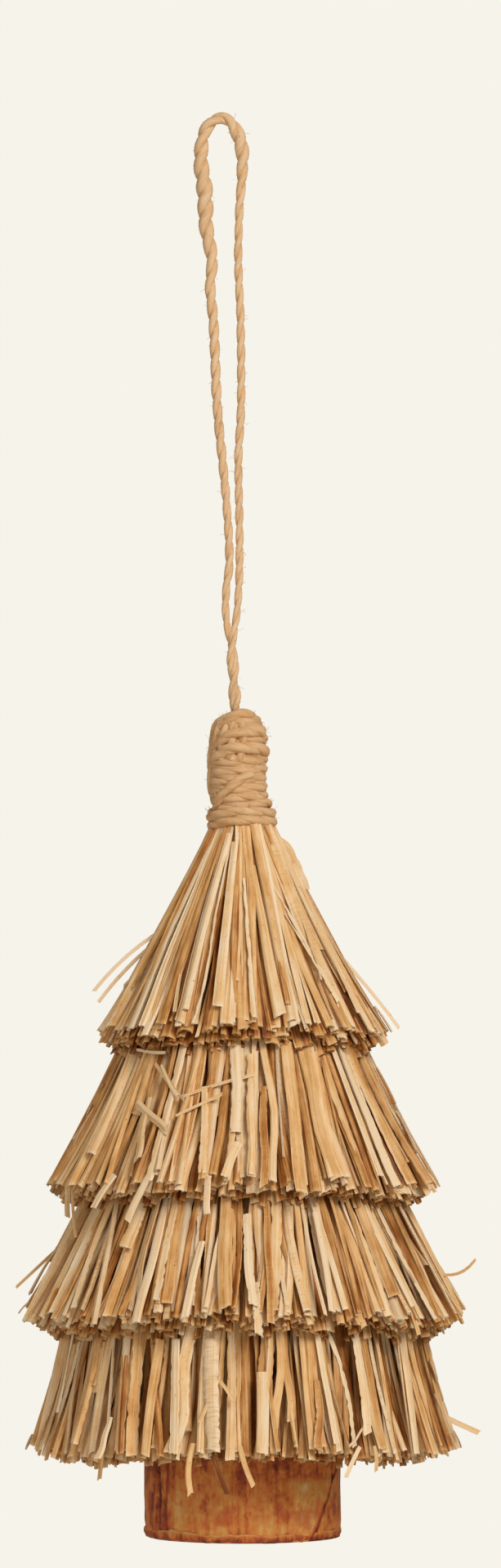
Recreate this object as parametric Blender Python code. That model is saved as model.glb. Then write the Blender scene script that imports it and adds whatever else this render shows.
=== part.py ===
"""Straw tree ornament, hanging by a loop of twine.

Four tiers of cut straw flare one under another, above a short trunk wrapped in bark. Twine is wound and
knotted round the bound neck of the top tier. Its two ends rise out of the winding, twist round each other
and part into a long loop. The origin is where a hook carries the loop, and the tree hangs below it in -Z.
The camera side of the tree, its front, faces -Y.
"""

import math
import random
from typing import NamedTuple

import bmesh
import bpy
from mathutils import Vector

MM = 0.001

# Clearance left between two solids that touch
GAP = 0.3 * MM
# Further clearance round a tier's tucked-in top, for its facets
SEAT_SLACK = 0.15 * MM

# The loop, from the hook down to the winding that it rises from
LOOP_DROP = 90.3 * MM
TWINE = 1.6 * MM
# The tree's axis hangs a little to the right of the hook
TREE_X = 3.5 * MM

# The twisted stretch of the loop, from the winding up to the fork
TWIST_HEIGHT = 12.2 * MM
TWIST_TURNS = 1.25
TWIST_STEPS = 6
TWIST_RADIUS = 0.63 * MM
TWIST_THICKNESS = 0.57
TWIST_FOOT_X = 2.25 * MM
TWIST_FORK_X = 1.6 * MM
ROUTE_STEP = 2.9 * MM
TWIST_STEP = 1.3 * MM
BEVEL_STEPS = 2

# The winding round the neck
BINDING_HEIGHT = 18.3 * MM
BINDING_RADIUS = 4.6 * MM
BINDING_FOOT = 3.3 * MM
BINDING_FOOT_RADIUS = 5.5 * MM
BINDING_DOME = 4.6 * MM
BINDING_TOP_RADIUS = 2.6 * MM
BINDING_LEAN = -0.8 * MM
TURN_PITCH = 1.66 * MM
TURN_DEPTH = 0.42 * MM
TURN_ROWS = 3
BINDING_SIDES = 18
STRAND_SIDES = 5
STRAND_STEPS = 7

# The neck of straw inside the winding
NECK_RADIUS = 2.9 * MM
NECK_CROWN = 3.4 * MM
SHOULDER_RADIUS = 5.6 * MM

# The tiers, from the top one down. A reach is the height from the hem above, or from the winding, down to
# the tier's own hem. A spread is how much wider the hem is than the start. A band is the radial width of
# the cut ends at the hem.
TOP_REACH = 30.4 * MM
TOP_SPREAD = 16.6 * MM
TOP_BAND = 3.9 * MM
TOP_FRONT_RISE = 2.4 * MM
SECOND_REACH = 23.5 * MM
SECOND_SPREAD = 11.8 * MM
SECOND_BAND = 5.6 * MM
THIRD_REACH = 19.5 * MM
THIRD_SPREAD = 10.4 * MM
THIRD_BAND = 5.9 * MM
BOTTOM_REACH = 20.7 * MM
BOTTOM_SPREAD = 5.3 * MM
BOTTOM_BAND = 9.0 * MM

# How far each tier's top is tucked up behind the hem above it
TUCK = 4.6 * MM
# Strips of straw: how deep some lie behind the others, how uneven their ends are
STRIP_DEPTH = 1.0 * MM
STRIP_RAGGED = 1.0 * MM
STRIP_SEAM = 0.16 * MM
STRAY_THICKNESS = 0.42 * MM
STRAY_ROOT = 2.2 * MM

# The trunk
TRUNK_RADIUS = 15.25 * MM
TRUNK_SHOWS = 13.5 * MM
TRUNK_SIDES = 40
RIM_HEIGHT = 1.3 * MM
RIM_PROUD = 0.3 * MM
RIM_CHAMFER = 0.35 * MM
BARK_STEP = 0.55 * MM
BARK_CREASE = 0.22 * MM
BARK_SEAM_DEG = -38.0
BARK_SEAM_SLANT_DEG = 14.0

STRAW_COLOUR = (0.62, 0.37, 0.15)
TWINE_COLOUR = (0.66, 0.43, 0.21)
BARK_COLOUR = (0.33, 0.13, 0.05)


class Tier(NamedTuple):
    """One skirt of straw, stated from its own start to its hem."""

    name: str
    reach: float
    spread: float
    hem_width: float
    front_rise: float  # how much shorter the straws are at the front
    strips: int
    seed: int


class Stray(NamedTuple):
    """One loose straw that stands off a skirt. Angles are in degrees."""

    tier: int
    around: float  # 0 is the right side, -90 the front, 180 the left
    down: float  # where it leaves the skirt, as a share of the tier's reach
    flare: float  # from straight down towards outwards
    kick: float  # the same for its outer half
    sideways: float
    length: float
    width: float


TIERS = (
    Tier("straw_tier_1", TOP_REACH, TOP_SPREAD, TOP_BAND, TOP_FRONT_RISE, 46, 11),
    Tier("straw_tier_2", SECOND_REACH, SECOND_SPREAD, SECOND_BAND, 0.0, 54, 12),
    Tier("straw_tier_3", THIRD_REACH, THIRD_SPREAD, THIRD_BAND, 0.0, 58, 13),
    Tier("straw_tier_4", BOTTOM_REACH, BOTTOM_SPREAD, BOTTOM_BAND, 0.0, 58, 14),
)

STRAYS = (
    # Top tier
    Stray(0, 183, 0.43, 43, 43, -2, 16.2 * MM, 0.6 * MM),
    Stray(0, 176, 0.45, 41, 42, 3, 16.0 * MM, 0.6 * MM),
    Stray(0, -2, 0.58, 38, 38, 4, 15.4 * MM, 0.5 * MM),
    Stray(0, -140, 0.72, 38, 38, -8, 9.0 * MM, 1.1 * MM),
    Stray(0, 75, 0.66, 39, 39, 6, 11.0 * MM, 0.7 * MM),
    # Second tier
    Stray(1, 186, 0.50, 36, 36, 3, 10.4 * MM, 1.0 * MM),
    Stray(1, -168, 0.90, 22, 22, -4, 8.4 * MM, 1.0 * MM),
    Stray(1, -158, 0.93, 20, 20, 3, 7.4 * MM, 1.3 * MM),
    Stray(1, 4, 0.76, 44, 44, 0, 8.4 * MM, 0.7 * MM),
    Stray(1, -9, 0.80, 38, 38, -3, 7.4 * MM, 0.9 * MM),
    Stray(1, -112, 0.30, 52, 24, 46, 10.4 * MM, 1.4 * MM),
    Stray(1, -128, 0.26, 52, 26, -38, 9.4 * MM, 1.2 * MM),
    Stray(1, -96, 0.44, 60, 44, 62, 11.0 * MM, 0.6 * MM),
    Stray(1, 102, 0.60, 39, 39, 9, 10.4 * MM, 0.9 * MM),
    # Third tier
    Stray(2, 178, 0.42, 47, 47, 4, 11.4 * MM, 0.5 * MM),
    Stray(2, -6, 0.68, 88, 130, 0, 7.0 * MM, 0.5 * MM),
    Stray(2, -150, 0.70, 40, 40, -6, 8.4 * MM, 1.0 * MM),
    Stray(2, -30, 0.66, 41, 41, 8, 9.2 * MM, 1.0 * MM),
    Stray(2, 128, 0.60, 42, 42, 7, 9.0 * MM, 0.8 * MM),
    # Bottom tier
    Stray(3, 174, 0.50, 25, 25, -3, 10.8 * MM, 0.7 * MM),
    Stray(3, -3, 0.70, 68, 68, 0, 7.1 * MM, 1.3 * MM),
    Stray(3, -50, 0.86, 12, 12, 16, 5.8 * MM, 0.8 * MM),
    Stray(3, -60, 0.86, 10, 10, -14, 7.0 * MM, 0.8 * MM),
    Stray(3, -104, 0.86, 12, 12, -9, 7.4 * MM, 0.9 * MM),
    Stray(3, -133, 0.88, 12, 12, 4, 5.6 * MM, 0.8 * MM),
    Stray(3, 66, 0.84, 14, 14, -7, 7.4 * MM, 0.9 * MM),
)

# The loop's route where it isn't twisted, in millimetres from the hook: x, y, z and its share of the
# twine's thickness. It rises from the fork on the left, turns over the hook and comes down on the right.
LOOP_ROUTE = (
    (0.75, 0.0, -75.0, 0.80),
    (0.85, 0.1, -71.0, 0.84),
    (1.35, 0.1, -66.5, 0.86),
    (0.80, 0.0, -57.0, 0.90),
    (-0.50, -0.1, -43.6, 1.00),
    (-1.05, 0.0, -31.2, 1.06),
    (-1.60, 0.1, -25.2, 1.10),
    (-1.35, 0.0, -20.8, 1.14),
    (-2.25, 0.0, -15.6, 1.20),
    (-2.50, 0.1, -10.2, 1.34),
    (-3.00, 0.0, -5.9, 1.22),
    (-2.70, 0.0, -2.4, 1.12),
    (-1.70, 0.0, -0.2, 1.08),
    (-0.10, 0.0, 0.86, 1.06),
    (1.50, 0.0, 0.25, 1.04),
    (2.75, 0.0, -1.6, 1.04),
    (3.50, 0.0, -4.2, 1.04),
    (3.30, 0.1, -8.9, 0.96),
    (2.85, 0.0, -13.5, 0.88),
    (2.70, 0.0, -21.0, 0.86),
    (3.05, -0.1, -31.0, 0.86),
    (3.10, 0.0, -43.5, 0.88),
    (2.70, 0.0, -51.2, 0.86),
    (2.85, 0.1, -60.0, 0.84),
    (2.85, 0.0, -68.5, 0.80),
    (2.50, 0.0, -74.8, 0.78),
)

BINDING_TOP = -LOOP_DROP
BINDING_BOTTOM = BINDING_TOP - BINDING_HEIGHT


def clear_scene():
    """Remove what the file opened with."""
    for thing in list(bpy.data.objects):
        bpy.data.objects.remove(thing, do_unlink=True)


def material(name, colour, roughness):
    """A plain Principled material."""
    made = bpy.data.materials.new(name)
    made.use_nodes = True
    shader = made.node_tree.nodes["Principled BSDF"]
    shader.inputs["Base Color"].default_value = (*colour, 1.0)
    shader.inputs["Roughness"].default_value = roughness
    shader.inputs["Metallic"].default_value = 0.0
    return made


def add_object(name, data, colour=None, roughness=0.8):
    """Put mesh or curve data into the scene, with a material of its own where it has a colour."""
    made = bpy.data.objects.new(name, data)
    bpy.context.scene.collection.objects.link(made)
    if colour is not None:
        data.materials.append(material(name + " finish", colour, roughness))
    return made


def mesh_object(name, shape, colour=None, roughness=0.8):
    """Turn a bmesh into an object in the scene, with its faces pointing out."""
    bmesh.ops.recalc_face_normals(shape, faces=shape.faces)
    if shape.calc_volume(signed=True) < 0:
        bmesh.ops.reverse_faces(shape, faces=shape.faces)
    mesh = bpy.data.meshes.new(name)
    shape.to_mesh(mesh)
    shape.free()
    return add_object(name, mesh, colour, roughness)


def guide(made):
    """Mark an object that only shapes another one."""
    made.hide_render = True
    made.display_type = "WIRE"
    return made


def boolean(target, operation, other):
    """Cut, join or trim a solid by a guide."""
    cut = target.modifiers.new(operation.lower() + " " + other.name, "BOOLEAN")
    cut.operation = operation
    cut.solver = "EXACT"
    cut.object = guide(other)


def polar(radius, angle, height, centre_x=TREE_X):
    """A point at a radius and an angle round an upright axis."""
    return Vector((centre_x + radius * math.cos(angle), radius * math.sin(angle), height))


def bridge(shape, lower, upper):
    """Faces between two closed rings of as many vertices."""
    count = len(lower)
    for i in range(count):
        j = (i + 1) % count
        shape.faces.new((lower[i], lower[j], upper[j], upper[i]))


def tube(shape, points, across, thick, sides, facing):
    """A closed bar along points. Its section is across wide and thick deep, turned to face outwards."""
    rings = []
    for i, point in enumerate(points):
        ahead = points[min(i + 1, len(points) - 1)]
        behind = points[max(i - 1, 0)]
        along = (ahead - behind).normalized()
        side = along.cross(facing(point)).normalized()
        out = side.cross(along).normalized()
        ring = []
        for k in range(sides):
            turn = 2 * math.pi * (k + 0.5) / sides
            offset = side * (across * math.cos(turn)) + out * (thick * math.sin(turn))
            ring.append(shape.verts.new(point + offset))
        rings.append(ring)
    for lower, upper in zip(rings, rings[1:]):
        bridge(shape, lower, upper)
    shape.faces.new(rings[0])
    shape.faces.new(rings[-1])


def outwards(point):
    """The level direction from the tree's axis to a point."""
    return Vector((point.x - TREE_X, point.y, 0.0)).normalized()


def tier_places():
    """Each tier's start height, hem height, start radius and hem radius, from the top down."""
    places = []
    start, radius = BINDING_BOTTOM, SHOULDER_RADIUS
    for tier in TIERS:
        hem = start - tier.reach
        hem_radius = radius + tier.spread
        places.append((start, hem, radius, hem_radius))
        start = hem
        radius = hem_radius - tier.hem_width - GAP - SEAT_SLACK
    return places


PLACES = tier_places()
TREE_FOOT = PLACES[-1][1] - TRUNK_SHOWS


def skirt_radius(index, height):
    """The radius of a tier's outermost straws at a height. Above its start the tier runs on straight."""
    start, hem, start_radius, hem_radius = PLACES[index]
    share = (start - height) / (start - hem)
    return start_radius + (hem_radius - start_radius) * share


def seat_radius(index, height):
    """The radius at which a tier's inside clears what stands in it, or is open on the lowest tier."""
    if index + 1 < len(TIERS):
        return skirt_radius(index + 1, height) + GAP + SEAT_SLACK
    return PLACES[index][3] - TIERS[index].hem_width


def strip_columns(tier):
    """Both edges of each strip round a tier: the angle, how deep the strip lies, how long it is."""
    chance = random.Random(tier.seed)
    widths = [chance.uniform(0.55, 1.45) for _ in range(tier.strips)]
    whole = sum(widths)
    seam = STRIP_SEAM / PLACES[TIERS.index(tier)][3]
    columns = []
    edge = chance.uniform(0, 1)
    for width in widths:
        depth = STRIP_DEPTH * chance.random() ** 1.5
        ragged = STRIP_RAGGED * chance.uniform(-1, 1)
        turn = 2 * math.pi * width / whole
        columns.append((edge + seam, depth, ragged))
        columns.append((edge + turn - seam, depth, ragged))
        edge += turn
    return columns


def straw_tier(index):
    """A skirt of straw strips: ridged outside, ragged at the hem, hollowed below for the next tier."""
    tier = TIERS[index]
    start, hem, start_radius, hem_radius = PLACES[index]
    top = start - GAP if index == 0 else start + TUCK - GAP
    top_radius = start_radius if index == 0 else skirt_radius(index, top)
    ceiling = hem + TUCK
    cut_slope = tier.spread / tier.reach
    shape = bmesh.new()
    rings = [[] for _ in range(7)]
    for angle, depth, ragged in strip_columns(tier):
        rise = tier.front_rise * max(0.0, -math.sin(angle)) ** 2
        edge = hem + ragged + rise
        inner = edge - tier.hem_width * cut_slope
        upper = start - 0.18 * tier.reach
        middle = start - 0.55 * tier.reach
        rim = min(skirt_radius(index, edge), hem_radius)
        profile = (
            (top_radius, top),
            (skirt_radius(index, upper) - 0.5 * depth, upper),
            (skirt_radius(index, middle) - depth, middle),
            (rim - depth, edge),
            (seat_radius(index, inner), inner),
            (seat_radius(index, ceiling), ceiling),
        )
        for ring, (radius, height) in zip(rings, profile):
            ring.append(shape.verts.new(polar(radius, angle, height)))
        if index == 0:
            rings[6].append(shape.verts.new(polar(NECK_RADIUS, angle, top)))
    for lower, upper in zip(rings[:5], rings[1:6]):
        bridge(shape, lower, upper)
    shape.faces.new(rings[5])
    if index == 0:
        bridge(shape, rings[6], rings[0])
        crown = []
        for vertex in rings[6]:
            crown.append(shape.verts.new((vertex.co.x, vertex.co.y, BINDING_TOP - NECK_CROWN)))
        bridge(shape, crown, rings[6])
        shape.faces.new(crown)
    else:
        shape.faces.new(rings[0])
    return mesh_object(tier.name, shape, STRAW_COLOUR, 0.75)


def stray_straws(index):
    """The loose straws of one tier, as a guide that is joined to its skirt."""
    shape = bmesh.new()
    start, hem = PLACES[index][:2]
    for stray in STRAYS:
        if stray.tier != index:
            continue
        height = start + (hem - start) * stray.down
        angle = math.radians(stray.around)
        radius = skirt_radius(index, height) - STRAY_ROOT
        side = Vector((-math.sin(angle), math.cos(angle), 0.0))
        out = Vector((math.cos(angle), math.sin(angle), 0.0))
        point = polar(radius, angle, height)
        points = [point]
        tilt = math.radians((stray.flare + stray.kick) / 2)
        face = out * math.cos(tilt) + Vector((0.0, 0.0, math.sin(tilt)))
        for lean in (stray.flare, stray.kick):
            lean = math.radians(lean)
            aside = math.radians(stray.sideways)
            drop = Vector((0.0, 0.0, -math.cos(lean) * math.cos(aside)))
            step = drop + out * (math.sin(lean) * math.cos(aside)) + side * math.sin(aside)
            point = point + step * (0.5 * stray.length)
            points.append(point)
        tube(shape, points, stray.width * 0.7, STRAY_THICKNESS * 0.7, 4, lambda _: face)
    return mesh_object("loose straws of " + TIERS[index].name, shape)


def binding_radius(height):
    """The winding's radius at a height above its foot: a foot ring, a waist and a domed top."""
    if height < BINDING_FOOT:
        return BINDING_FOOT_RADIUS
    dome = (height - (BINDING_HEIGHT - BINDING_DOME)) / BINDING_DOME
    if dome <= 0:
        return BINDING_RADIUS
    rounding = math.sqrt(max(0.0, 1 - min(dome, 1.0) ** 2))
    return BINDING_TOP_RADIUS + (BINDING_RADIUS - BINDING_TOP_RADIUS) * rounding


def binding_centre(height):
    """The winding leans to the left between its foot and its top."""
    share = min(max(height / BINDING_HEIGHT, 0.0), 1.0)
    return TREE_X + BINDING_LEAN * math.sin(math.pi * share)


def wound_turns():
    """The turns of twine, as one screw surface that runs past both ends of the winding."""
    shape = bmesh.new()
    turns = math.ceil(BINDING_HEIGHT / TURN_PITCH) + 2
    rows = []
    for i in range(turns * TURN_ROWS + 1):
        groove = TURN_DEPTH if i % TURN_ROWS == 0 else 0.0
        row = []
        for j in range(BINDING_SIDES):
            share = j / BINDING_SIDES
            height = TURN_PITCH * (i / TURN_ROWS + share - 1.5)
            radius = binding_radius(height) - groove
            place = polar(radius, 2 * math.pi * share, BINDING_BOTTOM + height, binding_centre(height))
            row.append(shape.verts.new(place))
        rows.append(row)
    last = BINDING_SIDES - 1
    for i in range(len(rows) - 1):
        for j in range(last):
            shape.faces.new((rows[i][j], rows[i][j + 1], rows[i + 1][j + 1], rows[i + 1][j]))
    for i in range(len(rows) - 1 - TURN_ROWS):
        above = i + TURN_ROWS
        shape.faces.new((rows[i][last], rows[above][0], rows[above + 1][0], rows[i + 1][last]))
    foot = [rows[i][0] for i in range(TURN_ROWS, 0, -1)]
    shape.faces.new([*foot, *rows[0]])
    crown = [rows[-2 - k][last] for k in range(TURN_ROWS)]
    shape.faces.new([*rows[-1], *crown])
    return shape


def knot_strand(shape, turn, rise, proud):
    """A strand of the knot, laid over the turns from one angle and height to another."""
    points = []
    for i in range(STRAND_STEPS + 1):
        share = i / STRAND_STEPS
        angle = math.radians(turn[0] + (turn[1] - turn[0]) * share)
        height = rise[0] + (rise[1] - rise[0]) * share
        lift = proud * math.sin(math.pi * share) - 0.35 * TWINE
        radius = binding_radius(height) + lift
        points.append(polar(radius, angle, BINDING_BOTTOM + height, binding_centre(height)))
    tube(shape, points, 0.5 * TWINE, 0.5 * TWINE, STRAND_SIDES, outwards)


def top_binding():
    """Twine wound round the neck, knotted over itself, closed above and open below for the straw."""
    body = mesh_object("top_binding", wound_turns(), TWINE_COLOUR, 0.85)
    trim = bmesh.new()
    wide = 3 * BINDING_FOOT_RADIUS
    middle = Vector((TREE_X, 0.0, (BINDING_TOP + BINDING_BOTTOM) / 2))
    bmesh.ops.create_cone(trim, cap_ends=True, segments=12, radius1=wide, radius2=wide, depth=BINDING_HEIGHT)
    bmesh.ops.translate(trim, verts=trim.verts, vec=middle)
    boolean(body, "INTERSECT", mesh_object("winding ends", trim))
    knots = (
        ((-150, -35), (0.40, 0.62), 0.60 * MM),
        ((-60, 50), (0.52, 0.84), 0.45 * MM),
        ((-165, -70), (0.70, 0.56), 0.55 * MM),
        ((150, 255), (0.50, 0.78), 0.60 * MM),
    )
    for number, (turn, rise, proud) in enumerate(knots):
        strand = bmesh.new()
        heights = [share * BINDING_HEIGHT for share in rise]
        knot_strand(strand, turn, heights, proud)
        boolean(body, "UNION", mesh_object(f"knot strand {number + 1}", strand))
    room = bmesh.new()
    depth = 2 * (BINDING_HEIGHT - NECK_CROWN + GAP)
    radius = NECK_RADIUS + GAP
    bmesh.ops.create_cone(room, cap_ends=True, segments=20, radius1=radius, radius2=radius, depth=depth)
    bmesh.ops.translate(room, verts=room.verts, vec=(TREE_X, 0.0, BINDING_BOTTOM))
    boolean(body, "DIFFERENCE", mesh_object("room for the neck", room))
    return body


def twisted_leg(side):
    """One leg of the twisted stretch, from the winding up to the fork: side is 0 for the left leg."""
    foot = BINDING_TOP + GAP
    points = []
    for i in range(TWIST_STEPS):
        share = i / (TWIST_STEPS - 1)
        angle = math.pi * (1 - side) - 2 * math.pi * TWIST_TURNS * (1 - share)
        centre = TWIST_FOOT_X + (TWIST_FORK_X - TWIST_FOOT_X) * share
        x = centre + TWIST_RADIUS * math.cos(angle)
        y = TWIST_RADIUS * math.sin(angle)
        points.append(Vector((x, y, foot + TWIST_HEIGHT * share, TWIST_THICKNESS)))
    return points


def smooth_path(points, step, first=0, last=None):
    """Points at about every step along the smooth curve through a route, between two of its points."""
    last = len(points) - 1 if last is None else last
    path = []
    for i in range(first, last):
        before = points[max(i - 1, 0)]
        here, there = points[i], points[i + 1]
        after = points[min(i + 2, len(points) - 1)]
        pieces = max(1, round((there.xyz - here.xyz).length / step))
        for k in range(pieces):
            t = k / pieces
            bend = 2 * before - 5 * here + 4 * there - after
            swing = 3 * here - before - 3 * there + after
            path.append(here + 0.5 * t * (there - before + t * (bend + t * swing)))
    return path


def loop_route():
    """The whole route of the loop, from the winding, over the hook and back to the winding."""
    open_part = [Vector((x * MM, y * MM, z * MM, thickness)) for x, y, z, thickness in LOOP_ROUTE]
    return twisted_leg(0) + open_part + twisted_leg(1)[::-1]


def hanging_loop():
    """The loop of twine."""
    route = loop_route()
    fork, back = TWIST_STEPS - 1, len(route) - TWIST_STEPS
    path = smooth_path(route, TWIST_STEP, 0, fork)
    path += smooth_path(route, ROUTE_STEP, fork, back)
    path += smooth_path(route, TWIST_STEP, back)
    path.append(route[-1])
    curve = bpy.data.curves.new("hanging_loop", "CURVE")
    curve.dimensions = "3D"
    curve.bevel_depth = TWINE / 2
    curve.bevel_resolution = BEVEL_STEPS
    curve.use_fill_caps = True
    spline = curve.splines.new("POLY")
    spline.points.add(len(path) - 1)
    for point, place in zip(spline.points, path):
        point.co = (*place[:3], 1.0)
        point.radius = place[3]
    return add_object("hanging_loop", curve, TWINE_COLOUR, 0.85)


def trunk():
    """The trunk: a sheet of bark rolled round to a slanting seam, with its lower edge folded in."""
    foot = TREE_FOOT
    top = PLACES[-1][1] + TUCK - GAP
    body = TRUNK_RADIUS
    folded = body + RIM_PROUD
    levels = (
        (folded - RIM_CHAMFER, foot, 0.0),
        (folded, foot + RIM_CHAMFER, 0.4),
        (folded, foot + RIM_HEIGHT, 0.6),
        (body - 0.5 * RIM_PROUD, foot + 1.3 * RIM_HEIGHT, 1.0),
        (body - 0.5 * RIM_PROUD, foot + 0.45 * (top - foot), 1.0),
        (body, foot + 0.75 * (top - foot), 1.0),
        (body, top, 0.5),
    )
    shape = bmesh.new()
    rings = []
    for radius, height, wear in levels:
        slant = math.radians(BARK_SEAM_SLANT_DEG) * (height - foot) / (top - foot)
        ring = []
        for i in range(TRUNK_SIDES):
            share = i / (TRUNK_SIDES - 1)
            turn = 0.04 + (2 * math.pi - 0.08) * share
            angle = math.radians(BARK_SEAM_DEG) + slant + turn
            roll = BARK_STEP * (share - 0.5)
            crease = math.sin(7 * turn + 1.0) * math.sin(3 * turn) + 0.6 * math.sin(13 * turn + 400 * height)
            ring.append(shape.verts.new(polar(radius + wear * (roll - BARK_CREASE * crease), angle, height)))
        rings.append(ring)
    for lower, upper in zip(rings, rings[1:]):
        bridge(shape, lower, upper)
    shape.faces.new(rings[0])
    shape.faces.new(rings[-1])
    return mesh_object("trunk", shape, BARK_COLOUR, 0.7)


def shade_smooth(made, angle_deg):
    """Shade an object smooth where its faces meet at less than an angle."""
    made.data.shade_smooth()
    made.data.set_sharp_from_angle(angle=math.radians(angle_deg))


def main():
    """Build the whole ornament."""
    clear_scene()
    for index in range(len(TIERS)):
        skirt = straw_tier(index)
        boolean(skirt, "UNION", stray_straws(index))
    shade_smooth(top_binding(), 50)
    shade_smooth(trunk(), 40)
    hanging_loop()


main()
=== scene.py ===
"""The looks of the straw tree ornament: its straws, twine and bark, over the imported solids.

Each skirt is built straw by straw: flat and curled strips, hollow stalks and torn ones, laid in layers from
the outside in. The twine is spun from two plies, along the loop and round the neck. The trunk is a rolled
sheet of creased bark with a folded rim. The front of the tree faces -Y.
"""

from math import ceil, cos, exp, pi, radians, sin, sqrt
from typing import NamedTuple

import bpy
import numpy as np
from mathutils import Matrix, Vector, noise

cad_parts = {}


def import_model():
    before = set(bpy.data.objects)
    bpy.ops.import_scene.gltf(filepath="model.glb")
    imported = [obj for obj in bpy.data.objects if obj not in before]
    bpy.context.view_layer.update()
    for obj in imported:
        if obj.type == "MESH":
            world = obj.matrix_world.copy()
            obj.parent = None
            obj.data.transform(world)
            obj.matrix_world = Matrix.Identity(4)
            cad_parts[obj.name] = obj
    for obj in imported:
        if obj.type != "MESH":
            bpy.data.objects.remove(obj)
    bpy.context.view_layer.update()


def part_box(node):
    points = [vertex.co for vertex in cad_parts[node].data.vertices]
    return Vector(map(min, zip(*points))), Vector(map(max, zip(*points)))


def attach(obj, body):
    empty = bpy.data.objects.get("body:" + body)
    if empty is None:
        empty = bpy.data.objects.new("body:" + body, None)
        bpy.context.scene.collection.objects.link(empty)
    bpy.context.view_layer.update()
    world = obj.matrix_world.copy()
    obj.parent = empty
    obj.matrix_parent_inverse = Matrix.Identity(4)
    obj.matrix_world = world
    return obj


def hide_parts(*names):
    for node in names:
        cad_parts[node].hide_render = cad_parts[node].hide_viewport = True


MM = 0.001

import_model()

# The tree's axis, and heights that the solids give
TREE_X = 3.5 * MM
BINDING_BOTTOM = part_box("top_binding")[0].z
BINDING_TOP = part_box("top_binding")[1].z
TREE_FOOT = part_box("trunk")[0].z

# The photograph: its scale at the tree, and where the camera stands
FRAME_HEIGHT = 240 * MM
CAMERA_DISTANCE = 1.38
CAMERA_X = 4.56 * MM
CAMERA_Z = -101.1 * MM
SENSOR = 36.0
BACKGROUND = (246, 243, 234)

# How the skirts fit under each other
TUCK = 4.6 * MM
SEAT = 0.45 * MM
SHOULDER_RADIUS = 5.6 * MM
NECK_RISE = 2.4 * MM

# Layers of straw, of which the outer ones are looser and made more finely
OUTER_LAYERS = 3
OUTER_DEPTH = 0.25 * MM
INNER_COVER = 0.85
DROP_BAND = 6 * MM
ROOT_DEPTH = 3.0 * MM
SHORT_SHARES_TOP = (0.05, 0.04, 0.02)
SHORT_SHARES = (0.2, 0.12, 0.06)
DARKEST_OUTER = 0.28

# Straw
STRAW_THICKNESS = 0.26 * MM
STRAY_ROOT = 0.9 * MM
STRAY_TURN = 1.3
SUNK = 0.5 * MM
MARKED_PROUD = 0.3 * MM
ACROSS_PROUD = 0.7 * MM
STALK_RADIUS = 1.5 * MM
RAGGED = 0.55 * MM
LOCK_LEAN = 1.3
LEANING_SHARE = 0.08
LEANING_MORE = 2.4
CHIPS = 16
FEW_TUBES_LAYERS = 2
TUBE_SHARE = 0.08
INNER_TUBE_SHARE = 0.32
TUBE_CURL = (5.0, 5.9)
FLAT_CURL = 0.8
EDGE_ON_SHARE = 0.12
TORN_SHARE = 0.32
TORN_DEPTH_MM = (0.12, 0.38)
NOTCHED_SHARE = 0.4
LAST_RING = 0.975
ROUGH_CUT = 0.09 * MM
RUNGS_FROM = 0.78
CREASE = 0.05
PALE_CUT = 0.25

# How finely straws are made: points over the face, and rings along them
OUTER_FLAT = (7, 10)
OUTER_TUBE = (8, 6)
INNER_FLAT = (4, 5)
INNER_TUBE = (6, 6)
TORN_FLAT = (5, 36)
STRAY_STRAW = (4, 8)
MARKED_STRAW = (7, 30)
CHIP_STRAW = (4, 6)
HAIR = (2, 4)

# Twine
TWINE = 1.6 * MM
PLY_PITCH = 6.2 * MM
PLY_SIDES = 10
PLIES_APART = 0.33
TWINE_STEP = 0.38 * MM
TWINE_SHADE = 0.6
LOOP_HAIRS = 110
LOOP_SEED = 21

# The twisted stretch of the loop, from the winding up to the fork
TWIST_HEIGHT = 12.2 * MM
TWIST_TURNS = 1.25
TWIST_STEPS = 6
TWIST_RADIUS = 0.4 * MM
TWIST_THICKNESS = 0.8
TWIST_FOOT_X = 2.25 * MM
TWIST_FORK_X = 1.6 * MM
GAP = 0.3 * MM

# The winding round the neck
BINDING_HEIGHT = BINDING_TOP - BINDING_BOTTOM
BINDING_RADIUS = 4.6 * MM
BINDING_FOOT = 3.3 * MM
BINDING_FOOT_RADIUS = 5.5 * MM
BINDING_DOME = 4.6 * MM
BINDING_TOP_RADIUS = 2.6 * MM
BINDING_LEAN = -0.8 * MM
BINDING_TOP_LEAN = -0.9 * MM
FOOT_SHARE = 0.19
FOOT_ARCH = 0.6 * MM
TURN_PITCH = 1.4 * MM
FOOT_PITCH = 1.3 * MM
WOUND_STEP = 0.5 * MM
WOUND_PLY_PITCH = 8 * MM
WOUND_APART = 0.26
WOUND_SHADE = 0.42
RUN_HAIRS = 30
STRAND_HAIRS = 6
BINDING_SEED = 31

# The runs of turns: from and to, as shares of the winding's height, the pitch, how proud they are in
# millimetres, and where they start in degrees
BINDING_RUNS = (
    (0.2, 0.66, TURN_PITCH, -0.32, 20),
    (0.66, 0.94, TURN_PITCH, -0.5, 300),
    (0.045, 0.17, FOOT_PITCH, -0.35, 280),
    (0.2, 0.66, TURN_PITCH, -0.08, 200),
    (0.66, 0.94, TURN_PITCH, -0.3, 120),
    (0.045, 0.17, FOOT_PITCH, 0.0, 100),
)

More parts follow.
